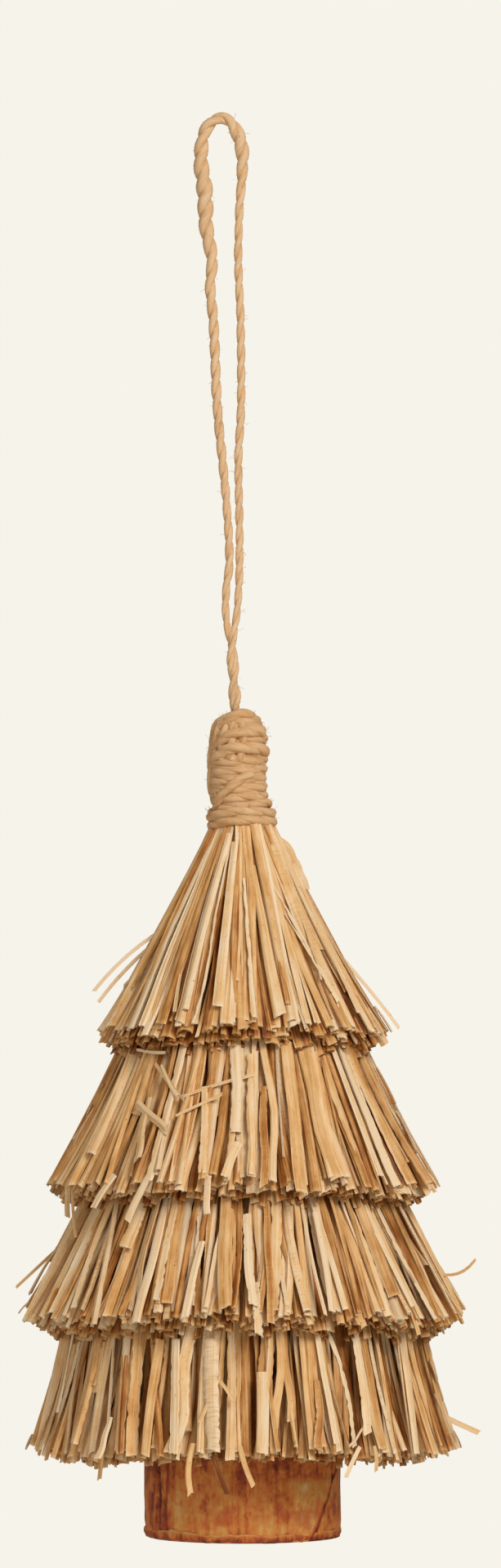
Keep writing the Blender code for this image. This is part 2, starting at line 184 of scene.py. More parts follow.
# The knot's strands: degrees round, share of the winding's height, how proud they are in millimetres, and
# their share of the twine's thickness
BINDING_STRANDS = (
    ((150, 0.22, 0.0), (178, 0.35, 0.25), (182, 0.6, 0.3), (180, 0.8, 0.25), (176, 0.93, -0.3),
     (170, 1.0, -2.0)),
    ((-165, 0.2, 0.0), (-142, 0.26, 0.45), (-115, 0.36, 0.5), (-85, 0.45, 0.4), (-55, 0.5, 0.1)),
    ((-175, 0.58, 0.1, 1.0), (-140, 0.65, 0.4, 1.1), (-100, 0.71, 0.5, 1.2), (-60, 0.71, 0.5, 1.2),
     (-20, 0.69, 0.25, 1.2), (15, 0.66, 0.0, 1.1), (50, 0.62, -0.1, 1.0)),
    ((-165, 0.7, 0.1, 1.0), (-125, 0.79, 0.4, 1.1), (-90, 0.84, 0.4, 1.2), (-50, 0.85, 0.2, 1.2),
     (-10, 0.82, -0.4, 1.1), (30, 0.78, -0.7, 1.0)),
    ((-150, 0.88, -0.2, 1.0), (-110, 0.96, 0.1, 1.1), (-75, 0.99, 0.1, 1.2), (-30, 0.98, -0.5, 1.2),
     (5, 0.94, -0.9, 1.1), (35, 0.88, -0.9, 1.0), (60, 0.8, -0.5, 1.0)),
    ((60, 0.94, -0.2), (95, 0.84, 0.3), (120, 0.7, 0.4), (150, 0.55, 0.4), (175, 0.4, 0.1)),
    ((-100, 0.2, 0.1), (-60, 0.24, 0.25), (-20, 0.25, 0.45), (20, 0.24, 0.45), (60, 0.21, 0.2),
     (100, 0.2, 0.0)),
)

# The trunk
TRUNK_RADIUS = 15.25 * MM
TRUNK_COLUMNS = 320
TRUNK_ROWS = 60
BARK_SEAM_DEG = -47.6
BARK_SEAM_SLANT_DEG = 38.5
BARK_STEP = 0.55 * MM
BARK_INSET = 0.12 * MM
BARK_SWELL = 0.22 * MM
BARK_FINE = 0.09 * MM
CREASE_DEPTH = 0.32 * MM
CREASE_WIDTH_MM = 0.42
SEAM_GAP = 0.02
LAP_SHARE = 0.06
LAP_EDGE = 0.25 * MM
FOOT_TUCK = 0.4 * MM
FOOT_TUCK_HEIGHT = 2.6 * MM

# The bark's tones: painted shade under the hem, a painted shadow at the seam and painted shade under its
# lap,
# paler towards the front right round the trunk, and relief painted as shade, darker in creases and paler on
# swells, per metre
HEM_SHADE = 0.26
HEM_SHADE_HEIGHT = 4.5 * MM
SEAM_SHADE = 0.8
SEAM_COLUMNS = 3
LAP_SHADE = 0.16
LAP_SHADE_SHARE = 0.07
GOLDEN = 0.16
GOLDEN_DEG = -66
RELIEF_TONE = 1300
DARKEST_RELIEF = -0.5

# The trunk's folded rim, from its torn upper edge round and under: shares of the edge's height and of the
# foot's, millimetres up, millimetres out from the trunk's radius, and tone
RIM_HEIGHT = 1.5 * MM
RIM_COLUMNS = 280
# The tone column is painted shade below the pale crest, lower where the fold turns under
RIM_ROWS = (
    (1.0, 0.0, 0.0, -0.9, 0.7),
    (1.0, 0.0, 0.0, -0.24, 1.0),
    (0.78, 0.0, 0.0, -0.12, 0.5),
    (0.4, 0.5, 0.0, -0.12, 0.26),
    (0.0, 1.0, 0.12, -0.3, 0.12),
    (0.0, 1.0, 0.0, -0.75, 0.08),
    (0.0, 0.0, 0.05, -1.6, 0.1),
)

# The pleated underside
FOOT_COLUMNS = 160
FOOT_ROWS = 12
FOOT_INSET = 0.9 * MM
FOOT_HOLE = 0.4 * MM
FOOT_HOLLOW = 0.5 * MM
PLEATS = 9
PLEAT_DEPTH = 0.16 * MM

# Patches of colour on the bark: degrees round, millimetres up from the foot, its width and height in
# millimetres, and how much paler it is
BARK_PATCHES = (
    (-55, 3.6, 2.8, 3.0, 0.26),
    (-131, 4.4, 1.4, 3.6, 0.28),
    (-150, 6.0, 3.4, 9.0, -0.24),
    (-96, 8.6, 6.0, 2.4, -0.16),
    (-52.7, 8.4, 0.42, 0.5, 1.7),
    (-86, 3.0, 2.6, 2.4, 0.16),
    (-60, 11.0, 4.6, 2.6, -0.2),
    (100, 5.0, 6.0, 4.0, 0.25),
)

# Where creases run down the bark, in degrees round
BARK_CREASES = (-147.6, -139.7, -134.0, -112.0, -93.0, -89.0, -70.4, -64.0, -30.0, 20.0, 65.0, 110.0, 150.0)


# The stage
FLOOR_RADIUS = 6.0
FLOOR_LEVEL = -0.95
FLOOR_SIDES = 48
WORLD_COLOUR = (1.0, 0.88, 0.72, 1)
WORLD_STRENGTH = 0.29
AIM_Z = -0.12


class Tier(NamedTuple):
    """One skirt of straw, with the sizes of its solid and the way its straws lie."""

    node: str
    reach: float
    spread: float
    band: float  # radial width of the cut ends
    drop: float  # how much lower the innermost ends are than the outermost
    front_rise: float
    layers: int
    lean: float  # how far straws lean sideways, in degrees
    width: float  # of a middling straw
    cover: float  # share of the way round that each outer layer fills
    unevenness: float  # how far straws stand in or out of their layer
    bow: float  # how far the skirt curves in, halfway down
    tone: float  # of the outermost straws
    # painted shade: each layer is made darker than the one outside it, as the shade deep in the skirt
    layer_shade: float  # how much darker each layer is than the one outside it
    seed: int


class Stray(NamedTuple):
    """One loose straw that stands off a skirt, in degrees and millimetres."""

    tier: int
    around: float  # 0 is the right side, -90 the front, 180 the left
    down: float  # where it leaves the skirt, as a share of the tier's reach
    flare: float  # from straight down towards outwards
    kick: float  # the same at its end
    sideways: float
    length: float
    width: float
    tone: float


class Marked(NamedTuple):
    """One straw that stands out on the front in the photograph, in millimetres from the hook."""

    tier: int
    top_x: float
    top_z: float
    tip_x: float
    tip_z: float
    width: float
    tone: float
    torn: float = 0.0
    rungs: bool = False  # brown lines across, which it has from growth


class Part(NamedTuple):
    """A batch of surface: points and quads, and the values that its material reads at each point."""

    points: np.ndarray
    quads: np.ndarray
    grain: np.ndarray  # millimetres across and along, and a number of its own
    tone: np.ndarray


# The lamps: name, place, size in metres, watts and colour
LAMPS = (
    ("key", (0.55, -0.9, 0.55), 0.5, 11.2, (1.0, 0.98, 0.95)),
    ("fill", (-0.9, -0.7, 0.1), 0.8, 2.6, (1.0, 0.98, 0.96)),
    ("back", (0.2, 1.1, 0.4), 0.8, 6.5, (1.0, 0.98, 0.96)),
    ("bounce", (0.1, -0.4, -0.8), 0.8, 1.7, (1.0, 0.95, 0.87)),
)

TIERS = (
    Tier("straw_tier_1", 30.4 * MM, 16.6 * MM, 3.9 * MM, 4.2 * MM, 2.4 * MM, 9,
         2.4, 1.45 * MM, 0.66, 0.26 * MM, 0.6 * MM, 0.64, 0.08, 11),
    Tier("straw_tier_2", 23.5 * MM, 11.8 * MM, 5.6 * MM, 3.6 * MM, 2.4 * MM, 9,
         4.4, 1.5 * MM, 0.5, 0.5 * MM, 0.6 * MM, 0.66, 0.065, 12),
    Tier("straw_tier_3", 19.5 * MM, 10.4 * MM, 5.9 * MM, 4.0 * MM, 2.5 * MM, 9,
         4.2, 1.35 * MM, 0.48, 0.55 * MM, 0.3 * MM, 0.66, 0.055, 13),
    Tier("straw_tier_4", 20.7 * MM, 5.3 * MM, 16.0 * MM, 1.3 * MM, 1.8 * MM, 13,
         4.4, 1.35 * MM, 0.48, 0.55 * MM, 0.6 * MM, 0.63, 0.05, 14),
)


def rows_of(kind, *rows):
    """A table's rows, each as one of a kind."""
    return tuple(kind(*row) for row in rows)


STRAYS = rows_of(
    Stray,
    # Top tier
    (0, 182, 0.48, 54, 43, 0, 14.4, 0.6, 1.1),
    (0, 178, 0.54, 48, 40, 0, 13.2, 0.6, 1.1),
    (0, -1, 0.58, 41, 38, 0, 15.8, 0.6, 1.2),
    (0, 181, 0.84, 31, 31, 0, 6.4, 1.1, 0.7),
    (0, -172, 0.88, 26, 26, 0, 5.8, 1.4, 0.6),
    (0, 184, 0.70, 30, 30, 0, 3.2, 1.4, 0.8),
    (0, -6, 0.03, 52, 24, 0, 4.2, 1.3, 0.8),
    (0, -6, 0.09, 51, 23, 0, 4.4, 1.3, 0.75),
    (0, -6, 0.16, 50, 22, 0, 4.6, 1.3, 0.8),
    (0, -8, 0.88, 26, 26, 0, 6.2, 1.4, 0.7),
    # Second tier
    (1, 186, 0.48, 38, 36, 0, 6.4, 0.8, 0.7),
    (1, -160, 0.92, 0, -6, 0, 9.4, 0.5, 0.7),
    (1, -164, 0.92, 4, 0, 0, 6.4, 0.9, 0.7),
    (1, 2, 0.82, 37, 37, 0, 5.6, 0.6, 0.75),
    (1, -8, 0.86, 33, 33, 0, 5.0, 0.7, 0.7),
    (1, 102, 0.60, 39, 39, 9, 10.4, 1.1, 0.6),
    # Third tier
    (2, 178, 0.42, 47, 47, 3, 11.0, 0.5, 0.75),
    (2, -6, 0.68, 88, 130, 0, 6.4, 0.5, 0.6),
    (2, -38, 0.90, 22, 22, 0, 4.4, 0.8, 0.6),
    # Bottom tier
    (3, 176, 0.54, 19, 18, -2, 9.6, 0.6, 0.75),
    (3, -3, 0.76, 66, 66, 0, 6.2, 0.9, 0.75),
    (3, -51, 0.90, 4, 4, 2, 3.8, 0.6, 0.6),
    (3, -56, 0.90, 4, 4, -32, 5.2, 0.7, 1.1),
    (3, -91, 0.88, 4, 4, 19, 6.2, 0.8, 0.6),
    (3, -99, 0.88, 4, 4, 20, 7.6, 0.8, -0.1),
    (3, -104, 0.86, 8, 8, -1, 7.6, 0.9, 0.6),
    (3, -133, 0.88, 12, 12, 4, 5.6, 1.0, 0.6),
)

MARKED = rows_of(
    Marked,
    (0, 1.4, -108.6, -5.6, -135.6, 1.5, 0.95),
    (0, 2.2, -109.9, -0.4, -135.1, 1.8, 0.85),
    (0, 3.6, -115.5, 5.2, -136.8, 1.0, 0.95, 0.25),
    (0, 4.8, -113.6, 9.0, -136.5, 2.2, 0.72),
    (0, 6.6, -114.0, 18.0, -134.4, 1.0, 0.95, 0.35),
    (0, -5.8, -128.4, -7.2, -135.9, 0.9, 0.85),
    (0, 13.2, -119.9, 21.2, -136.1, 1.0, 0.85, 0.2),
    (1, -11.0, -149.2, -12.8, -158.6, 1.8, 0.82, 0.2),
    (1, -8.1, -152.6, -9.8, -160.1, 1.2, 0.88),
    (1, 2.1, -139.6, 2.4, -154.4, 2.1, 0.9, 0.25),
    (1, 2.8, -156.0, 0.6, -161.2, 1.4, 0.92),
    (1, -2.5, -147.4, -2.8, -160.6, 1.5, 0.85, 0.2),
    (1, 4.5, -142.4, 4.8, -161.2, 1.6, 0.82, 0.3),
    (1, 6.6, -147.4, 6.8, -162.6, 1.4, 0.36, 0.2, True),
    (1, 10.1, -140.5, 12.5, -163.6, 2.1, 0.62),
    (1, 16.8, -140.5, 24.6, -161.1, 1.2, 0.97),
    (1, -1.9, -161.1, -2.0, -166.9, 1.1, 0.97),
    (1, -11.2, -161.1, -14.4, -167.9, 1.5, 0.92),
    (1, -16.2, -160.9, -19.5, -165.9, 1.2, 0.86),
    (2, -8.1, -164.4, -13.0, -183.5, 1.6, 0.95),
    (2, -6.8, -164.4, -10.0, -180.1, 1.5, 0.86, 0.45),
    (2, -2.9, -171.1, -5.5, -182.8, 1.2, 1.0),
    (2, -15.8, -164.4, -19.5, -183.9, 1.9, 0.84, 0.2),
    (2, 4.0, -166.9, 4.9, -180.9, 1.6, 1.0, 0.2),
    (2, 7.1, -165.9, 7.9, -183.6, 1.1, 0.4, 0.0, True),
    (2, 14.5, -166.6, 17.2, -181.9, 1.1, 0.95),
    (2, 19.8, -165.9, 25.8, -182.5, 1.8, 0.84, 0.25),
    (2, 21.4, -164.6, 29.4, -181.1, 0.9, 1.0),
    (2, 5.4, -177.4, 5.9, -185.4, 1.5, 0.84, 0.3),
    (3, -1.6, -186.1, -1.4, -203.1, 2.8, 0.93, 0.35, True),
    (3, -9.2, -186.1, -11.6, -203.9, 1.5, 0.62),
    (3, -16.9, -198.0, -18.8, -204.4, 1.1, 0.97),
    (3, -14.6, -188.6, -15.5, -203.6, 1.5, 0.3, 0.2, True),
    (3, -6.9, -186.1, -7.2, -203.6, 1.6, 0.88, 0.25),
    (3, 14.6, -183.9, 17.9, -202.1, 1.1, 1.0),
    (3, 6.5, -191.1, 6.4, -203.6, 2.0, 0.8),
    (3, 20.4, -184.4, 22.6, -200.6, 1.6, 0.95, 0.2),
    (3, 27.6, -184.1, 30.1, -203.6, 1.8, 0.9),
    (3, 14.8, -192.4, 15.0, -203.1, 1.5, 0.42, 0.2, True),
)

# Loose ones that lie across the others
ACROSS = rows_of(
    Marked,
    (0, 9.8, -121.0, 17.0, -132.9, 0.5, 0.9, 0.2),
    (0, 12.0, -120.4, 15.4, -131.0, 0.4, 0.85, 0.15),
    (1, -6.0, -149.0, 5.0, -145.6, 0.5, 0.85),
    (1, -10.0, -143.9, -5.8, -149.4, 0.6, 0.85),
    (1, -6.9, -151.9, 0.2, -148.6, 0.5, 0.8),
    (1, -13.4, -141.7, -8.6, -142.3, 0.5, 0.85),
    (1, -9.1, -144.1, -6.6, -148.8, 0.8, 0.8),
    (1, -12.8, -150.0, -8.4, -154.1, 1.5, 0.78),
    (3, -0.2, -191.9, -3.4, -198.9, 0.5, 0.8),
    (3, -0.2, -192.4, 2.0, -195.6, 0.6, 0.6),
    (3, 21.7, -199.8, 19.8, -202.6, 0.4, 0.9),
)

# The loop's route where it isn't twisted, in millimetres from the hook: x, y, z and its share of the
# twine's thickness
LOOP_ROUTE = (
    (0.75, 0.0, -75.0, 0.80),
    (0.85, 0.1, -71.0, 0.84),
    (1.35, 0.1, -66.5, 0.86),
    (0.80, 0.0, -57.0, 0.90),
    (-0.50, -0.1, -43.6, 1.00),
    (-1.05, 0.0, -31.2, 1.06),
    (-1.60, 0.1, -25.2, 1.10),
    (-1.35, 0.0, -20.8, 1.24),
    (-2.25, 0.0, -15.6, 1.52),
    (-2.45, 0.1, -10.2, 1.68),
    (-3.00, 0.0, -5.9, 1.55),
    (-2.75, 0.0, -2.4, 1.38),
    (-1.75, 0.0, -0.2, 1.28),
    (-0.10, 0.0, 0.82, 1.24),
    (1.45, 0.0, 0.25, 1.28),
    (2.60, 0.0, -1.6, 1.40),
    (3.30, 0.0, -4.4, 1.42),
    (3.20, 0.1, -8.9, 1.02),
    (2.85, 0.0, -13.5, 0.88),
    (2.70, 0.0, -21.0, 0.86),
    (3.05, -0.1, -31.0, 0.86),
    (3.10, 0.0, -43.5, 0.88),
    (2.70, 0.0, -51.2, 0.86),
    (2.85, 0.1, -60.0, 0.84),
    (2.85, 0.0, -68.5, 0.80),
    (2.50, 0.0, -74.8, 0.78),
)


def linear(colour):
    """A display colour, from 0 to 255, as linear light with full cover."""
    shares = [c / 255 for c in colour]
    return (*(s / 12.92 if s <= 0.04045 else ((s + 0.055) / 1.055) ** 2.4 for s in shares), 1.0)


def unit(vectors):
    """Vectors along the last axis, each at length 1."""
    return vectors / np.maximum(np.linalg.norm(vectors, axis=-1, keepdims=True), 1e-12)


def outwards(angle):
    """Directions out from the tree's axis at angles round it."""
    return np.stack([np.cos(angle), np.sin(angle), 0 * angle], axis=-1)


def polar(radius, angle, height):
    """Points at a radius and an angle round the tree's axis, as arrays."""
    return np.stack([TREE_X + radius * np.cos(angle), radius * np.sin(angle), height + 0 * angle], axis=-1)


# Materials


class Paint:
    """The shaders of a material or of the world, under construction."""

    def __init__(self, owner, shader="Principled BSDF"):
        owner.use_nodes = True
        self.owner = owner
        self.tree = owner.node_tree
        self.shader = self.tree.nodes[shader]

    def fill(self, node, inputs):
        """Link outputs to a node's inputs, or set the inputs' values."""
        for key, value in inputs.items():
            if isinstance(value, bpy.types.NodeSocket):
                self.tree.links.new(value, node.inputs[key])
            else:
                node.inputs[key].default_value = value

    def node(self, kind, inputs, **settings):
        """A new node, with its settings and inputs."""
        made = self.tree.nodes.new("ShaderNode" + kind)
        for key, value in settings.items():
            setattr(made, key, value)
        self.fill(made, inputs)
        return made

    def maths(self, operation, first, second):
        """A Math node's output."""
        return self.node("Math", {0: first, 1: second}, operation=operation).outputs[0]

    def read(self, name, output):
        """What the mesh carries at each point under a name."""
        return self.node("Attribute", {}, attribute_name=name).outputs[output]

    def noise(self, grain, stretch, detail=2.0, roughness=0.5):
        """Noise from 0 to 1, at a grain times a number each way."""
        place = self.node("VectorMath", {0: grain, 1: stretch}, operation="MULTIPLY").outputs[0]
        inputs = {"Vector": place, "Scale": 1.0, "Detail": detail, "Roughness": roughness}
        return self.node("TexNoise", inputs).outputs[0]

    def ramp(self, value, stops):
        """A colour ramp through (place, display colour) stops."""
        made = self.node("ValToRGB", {0: value})
        elements = made.color_ramp.elements
        elements[0].position, elements[-1].position = stops[0][0], stops[-1][0]
        elements[0].color, elements[-1].color = linear(stops[0][1]), linear(stops[-1][1])
        for place, colour in stops[1:-1]:
            elements.new(place).color = linear(colour)
        return made.outputs[0]

    def fade(self, value, low, high, first=0.0, last=1.0):
        """What goes from first to last as a value goes from low to high."""
        inputs = {"Value": value, "From Min": low, "From Max": high, "To Min": first, "To Max": last}
        return self.node("MapRange", inputs).outputs[0]

    def vary(self, shade, *patterns):
        """A shade with patterns added about their middles, each by its strength."""
        for pattern, strength in patterns:
            shade = self.maths("ADD", shade, self.fade(pattern, 0.0, 1.0, -strength / 2, strength / 2))
        return shade

    def stain(self, colour, share, other):
        """A colour with a share of another over it."""
        return self.node("Mix", {0: share, 6: colour, 7: linear(other)}, data_type="RGBA").outputs[2]

    def finish(self, colour, roughness, specular, height, distance):
        """Give the shader its colour, roughness, gloss and bump."""
        bump = self.node("Bump", {"Height": height, "Distance": distance, "Strength": 1.0}).outputs[0]
        look = {"Base Color": colour, "Roughness": roughness, "Specular IOR Level": specular, "Normal": bump}
        self.fill(self.shader, look)
        return self.owner

    def plain_to_camera(self, kind):
        """The plain background to the camera, and the paint's own shader to all other light."""
        seen = self.node("LightPath", {}).outputs["Is Camera Ray"]
        plain = self.node(kind, {"Color": linear(BACKGROUND)}).outputs[0]
        return self.node("MixShader", {0: seen, 1: self.shader.outputs[0], 2: plain}).outputs[0]

    def show(self, shader):
        """Make a shader the one that shows."""
        ends = [node for node in self.tree.nodes if node.type.startswith("OUTPUT_")]
        self.fill(ends[0], {"Surface": shader})


def straw_finish(name):
    """Dry straw: cream to brown from strip to strip, streaked with fibres, blotched and specked."""
    paint = Paint(bpy.data.materials.new(name))
    grain = paint.read("grain", "Vector")
    fibres = paint.noise(grain, (4.5, 0.13, 91.0), 3.0, 0.6)
    blotches = paint.noise(grain, (0.5, 0.2, 57.0), 3.0, 0.6)
    ridges = paint.noise(grain, (1.5, 0.035, 71.0), 2.0, 0.6)
    shade = paint.vary(paint.read("tone", "Fac"), (fibres, 0.5), (blotches, 0.75), (ridges, 1.0))
    stops = (
        (0.0, (112, 55, 10)),
        (0.22, (167, 102, 40)),
        (0.45, (208, 154, 90)),
        (0.7, (228, 186, 130)),
        (1.0, (236, 211, 175)),
    )
    own = paint.node("SeparateXYZ", {0: grain}).outputs[2]
    rungs = paint.fade(paint.noise(grain, (0.35, 2.8, 37.0), 1.0), 0.5, 0.66)
    rungs = paint.maths("MULTIPLY", rungs, paint.fade(own, RUNGS_FROM, RUNGS_FROM + 0.2, 0.0, 0.28))
    colour = paint.stain(paint.ramp(shade, stops), rungs, (158, 104, 54))
    specks = paint.noise(grain, (2.6, 1.5, 23.0), 2.0, 0.7)
    colour = paint.stain(colour, paint.fade(specks, 0.66, 0.76, 0.0, 0.75), (138, 84, 40))
    height = paint.vary(fibres, (ridges, 3.0))
    return paint.finish(colour, paint.fade(fibres, 0.0, 1.0, 0.42, 0.7), 0.3, height, 0.07 * MM)


def twine_finish(name):
    """Jute twine: fibres that run round each ply, with painted light and shade: lighter on its back and
    brown in the groove.
    """
    paint = Paint(bpy.data.materials.new(name))
    grain = paint.read("grain", "Vector")
    fibres = paint.noise(grain, (5.0, 0.5, 41.0), 3.0, 0.65)
    patches = paint.noise(grain, (1.0, 0.3, 13.0))
    shade = paint.vary(paint.read("tone", "Fac"), (fibres, 0.5), (patches, 0.7))
    stops = (
        (0.0, (176, 126, 78)),
        (0.35, (205, 161, 113)),
        (0.65, (222, 185, 143)),
        (1.0, (232, 205, 173)),
    )
    return paint.finish(paint.ramp(shade, stops), 0.85, 0.2, fibres, 0.1 * MM)


def bark_finish(name):
    """Thin bark, from red-brown to golden, mottled, with yellow flecks and fine streaks down it."""
    paint = Paint(bpy.data.materials.new(name))
    grain = paint.read("grain", "Vector")
    fibres = paint.noise(grain, (1.5, 0.22, 1.0), 4.0, 0.65)
    patches = paint.noise(grain, (0.2, 0.2, 1.0), 3.0, 0.6)
    mottles = paint.noise(grain, (0.75, 0.6, 1.0), 4.0, 0.65)
    tone = paint.read("tone", "Fac")
    shade = paint.vary(tone, (fibres, 0.85), (patches, 1.05), (mottles, 1.2))
    stops = (
        (0.0, (88, 32, 14)),
        (0.22, (150, 68, 32)),
        (0.5, (202, 112, 50)),
        (0.75, (208, 140, 68)),
        (1.0, (216, 164, 100)),
    )
    yellow = paint.fade(patches, 0.46, 0.58, 0.0, 0.6)
    yellow = paint.maths("MULTIPLY", paint.fade(mottles, 0.58, 0.68), yellow)
    colour = paint.stain(paint.ramp(shade, stops), yellow, (200, 150, 66))
    colour = paint.stain(colour, paint.fade(patches, 0.47, 0.36, 0.0, 0.5), (180, 78, 46))
    colour = paint.stain(colour, paint.fade(tone, 1.1, 1.7, 0.0, 0.8), (226, 192, 150))
    roughness = paint.fade(fibres, 0.0, 1.0, 0.45, 0.65)
    return paint.finish(colour, roughness, 0.3, paint.maths("ADD", fibres, mottles), 0.18 * MM)


# Meshes


def add_object(name, data):
    """A new object in the scene."""
    made = bpy.data.objects.new(name, data)
    bpy.context.scene.collection.objects.link(made)
    return made


def build(name, parts, material, node, sharp_deg=50):
    """Join parts into one piece that stands for a node of the solids."""
    counts = np.cumsum([0] + [len(part.points) for part in parts])
    points = np.concatenate([part.points for part in parts])
    quads = np.concatenate([part.quads + start for part, start in zip(parts, counts)])
    mesh = bpy.data.meshes.new(name)
    mesh.from_pydata(points.tolist(), [], quads.tolist())
    grain = np.concatenate([part.grain for part in parts]).astype(np.float32)
    mesh.attributes.new("grain", "FLOAT_VECTOR", "POINT").data.foreach_set("vector", grain.ravel())
    tone = np.concatenate([part.tone for part in parts]).astype(np.float32)
    mesh.attributes.new("tone", "FLOAT", "POINT").data.foreach_set("value", tone)
    mesh.materials.append(material)
    mesh.shade_smooth()
    mesh.set_sharp_from_angle(angle=radians(sharp_deg))
    made = add_object(name, mesh)
    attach(made, "root")
    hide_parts(node)
    return made


def grid_quads(rows, columns, closed):
    """Quads between neighbouring rows of points, which are closed rings or open lines."""
    steps = columns if closed else columns - 1
    row = np.arange(rows - 1)[:, None] * columns
    here = np.arange(steps)[None, :]
    there = (here + 1) % columns
    quads = np.stack([row + here, row + there, row + columns + there, row + columns + here], axis=-1)
    return quads.reshape(-1, 4)


def straw_part(straws, detail):
    """A batch of straws as closed strips, each with points over its face and as many behind."""
    across, rings = detail
    count = len(straws["width"])
    column = {key: values[:, None] for key, values in straws.items()}
    t = np.append(np.linspace(0, LAST_RING, rings - 1), 1.0)[None, :]
    run = column["tip"] - column["root"]
    length = np.linalg.norm(run, axis=-1)
    ahead = unit(run)
    side = unit(np.cross(ahead, column["out"]))
    face = np.cross(side, ahead)
    bow = 4 * t * (1 - t) * column["bow"] + column["kick"] * t**3
    centre = column["root"] + run * t[..., None] + face * bow[..., None]
    chance = np.random.default_rng(count + rings)
    wave = np.sin(2 * pi * (t * chance.uniform(0.6, 1.6, (count, 1)) + chance.random((count, 1))))
    aside = np.sin(pi * t) * column["sway"] + t * wave * column["wander"]
    centre = centre + side * aside[..., None]
    roll = column["root_roll"] + (column["roll"] - column["root_roll"]) * np.sqrt(t)
    cosine, sine = np.cos(roll)[..., None], np.sin(roll)[..., None]
    side, face = side * cosine + face * sine, face * cosine - side * sine

    share = np.linspace(-1, 1, across)[None, None, :]
    curl = column["curl"][..., None]
    width = (column["width"] * (column["taper"] + (1 - column["taper"]) * t))[..., None]
    bend = width / curl
    turn = share * curl / 2
    lift = np.cos(curl / 2) / 2 + 0.5
    inner = bend - column["thick"][..., None]
    x = np.stack([bend * np.sin(turn), inner * np.sin(turn)])
    y = np.stack([bend * np.cos(turn), inner * np.cos(turn)]) - bend * lift
    crease = chance.normal(0, 1, (count, 1, across)) * column["crease"][..., None] * width
    y = y * column["squash"][..., None] + crease
    notched = chance.random((count, rings, 2)) < NOTCHED_SHARE
    tear = column["edge"][..., None] * chance.uniform(0.1, 1, (count, rings, 2)) * (0.2 + 0.8 * notched)
    x = x - np.sign(share) * (np.abs(share) ** 3) * np.where(share > 0, tear[..., :1], tear[..., 1:])
    cut = np.zeros((1, rings, 1))
    cut[:, -1] = 1.0
    rough = chance.uniform(-ROUGH_CUT, ROUGH_CUT, (2, count, rings, across))
    slip = cut * (column["skew"][..., None] * x + rough)
    ring_points = (
        centre[None, :, :, None]
        + side[None, :, :, None] * x[..., None]
        + face[None, :, :, None] * y[..., None]
        + ahead[None, :, :, None] * slip[..., None]
    )
    ring_points = np.concatenate([ring_points[0], ring_points[1][:, :, ::-1]], axis=2)
    around = 2 * across
    points = ring_points.reshape(-1, 3)
    wall = grid_quads(rings, around, True)
    i = np.arange(across - 1)
    behind = around - 1 - i
    start = np.stack([i, behind, behind - 1, i + 1], axis=-1)
    end = np.stack([i, i + 1, behind - 1, behind], axis=-1) + (rings - 1) * around
    pattern = np.concatenate([wall, start, end])
    quads = (pattern[None] + (np.arange(count) * rings * around)[:, None, None]).reshape(-1, 4)
    grain = np.empty((count, rings, around, 3))
    spread = np.broadcast_to(share * width / 2 / MM, (count, rings, across))
    grain[..., 0] = np.concatenate([spread, spread[:, :, ::-1] + 3.0], axis=2)
    grain[..., 1] = (t * length / MM)[..., None]
    grain[..., 2] = column["own"][..., None]
    # Painted highlight: each strip is paler towards its edges, by a share of its own number
    edge_highlit_tone = column["tone"][..., None] + 0.25 * column["own"][..., None] * np.abs(share) ** 4
    tone = np.concatenate([edge_highlit_tone, edge_highlit_tone[:, :, ::-1]], axis=2) + PALE_CUT * cut
    return Part(points, quads, grain.reshape(-1, 3), tone.reshape(-1))


def tier_places():
    """Each tier's start height, hem height, start radius and hem radius, from the top down."""
    places = []
    start, radius = BINDING_BOTTOM, SHOULDER_RADIUS
    for tier in TIERS:
        hem = start - tier.reach
        places.append((start, hem, radius, radius + tier.spread))
        start, radius = hem, radius + tier.spread - tier.band - SEAT
    return places


PLACES = tier_places()


def skirt_radius(index, height):
    """The radius of a tier's outermost straws at a height."""
    start, hem, start_radius, hem_radius = PLACES[index]
    share = (start - height) / (start - hem)
    inside = np.clip(share, 0, 1)
    return start_radius + (hem_radius - start_radius) * share - 4 * inside * (1 - inside) * TIERS[index].bow


def some(straws, chosen):
    """Those straws of a batch that are chosen."""
    return {key: values[chosen] for key, values in straws.items()}


def lock_lean(index, angle):
    """How far the lock of straws at an angle leans sideways, in degrees."""
    return LOCK_LEAN * (np.sin(7 * angle + index) + np.sin(17 * angle + 2.4 * index))


def plain_straws(roots, tips, outs, widths, tones, chance):
    """A batch of straight flat straws."""
    still = np.zeros(len(widths))
    names = ("roll", "root_roll", "bow", "kick", "sway", "wander", "skew", "edge", "crease")
    straws = {name: still for name in names}
    straws |= {"root": np.array(roots), "tip": np.array(tips), "out": np.array(outs)}
    straws |= {"width": np.array(widths), "tone": np.array(tones), "thick": still + 0.8 * STRAW_THICKNESS}
    straws |= {"curl": still + FLAT_CURL, "squash": still + 1.0, "taper": still + 1.0}
    straws["own"] = chance.uniform(0.0, RUNGS_FROM, len(widths))
    return straws


def jitter(straws, chance, **amounts):
    """Vary some of a batch's values at random, each by its amount."""
    for key, amount in amounts.items():
        straws[key] = straws[key] + chance.normal(0, amount, len(straws["width"]))


